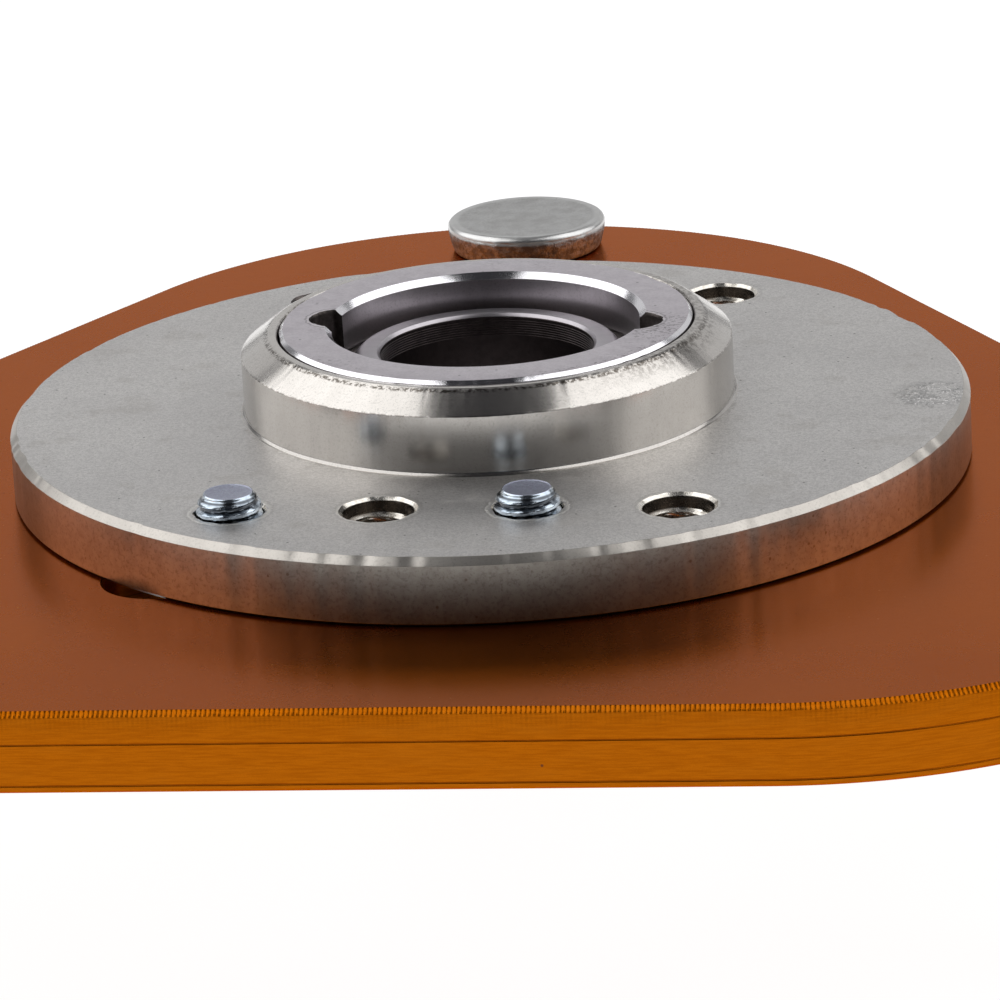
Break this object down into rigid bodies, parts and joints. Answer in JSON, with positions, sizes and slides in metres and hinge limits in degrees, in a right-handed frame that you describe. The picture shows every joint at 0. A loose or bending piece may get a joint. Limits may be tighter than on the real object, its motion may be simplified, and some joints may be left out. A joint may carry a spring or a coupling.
{
  "type": "adjustable camber plate",
  "caption": "Coilover upper mount: a rounded triangular plate with tower studs, and a sliding flanged housing that holds a spherical bearing under a threaded ring.",
  "frame": {"origin": "centre of the stud circle, on the plate's face that lies against the strut tower", "axes": "+Z out of the damper side, where the housing is; +X along the camber slots and the straight front edge; +Y towards the single rear stud"},
  "size_m": [0.1522, 0.1437, 0.049],
  "materials": {
    "anodised_plate": "bronze-orange anodised, satin, with milled edges",
    "stud_steel": "dull zinc plating over a rough rolled side",
    "plated_housing": "turned steel with a satin nickel plating",
    "ring_steel": "ground steel with bright chamfers",
    "race_steel": "ground bearing steel",
    "ptfe_liner": "woven low-friction liner",
    "ball_steel": "ground and polished bearing steel",
    "zinc_screw": "bright zinc plated",
    "zinc_washer": "bright zinc plated"
  },
  "bodies": {
    "plate": {"camber_plate": "anodised_plate", "stud_rear": "stud_steel", "stud_front_left": "stud_steel", "stud_front_right": "stud_steel"},
    "carriage": {"bearing_housing": "plated_housing", "retaining_ring": "ring_steel", "bearing_outer_race": "race_steel", "camber_screw_front_left": "zinc_screw", "camber_screw_front_right": "zinc_screw", "camber_screw_rear_left": "zinc_screw", "camber_screw_rear_right": "zinc_screw", "lock_washer_front_left": "zinc_washer", "lock_washer_front_right": "zinc_washer", "lock_washer_rear_left": "zinc_washer", "lock_washer_rear_right": "zinc_washer", "clamp_washer_front_left": "zinc_washer", "clamp_washer_front_right": "zinc_washer", "clamp_washer_rear_left": "zinc_washer", "clamp_washer_rear_right": "zinc_washer"},
    "liner": {"bearing_liner": "ptfe_liner"},
    "ball": {"bearing_ball": "ball_steel"}
  },
  "joints": [
    {"name": "camber_slide", "type": "slide", "parent": "plate", "child": "carriage", "axis": [1, 0, 0], "range_m": [-0.0085, 0.0148]},
    {"name": "ball_spin", "type": "hinge", "parent": "carriage", "child": "liner", "pos_m": [0.0035, 0.002, 0.0106], "axis": [0, 0, 1], "continuous": true},
    {"name": "ball_tilt", "type": "hinge", "parent": "liner", "child": "ball", "pos_m": [0.0035, 0.002, 0.0106], "axis": [1, 0, 0], "range_deg": [-9, 9]}
  ]
}
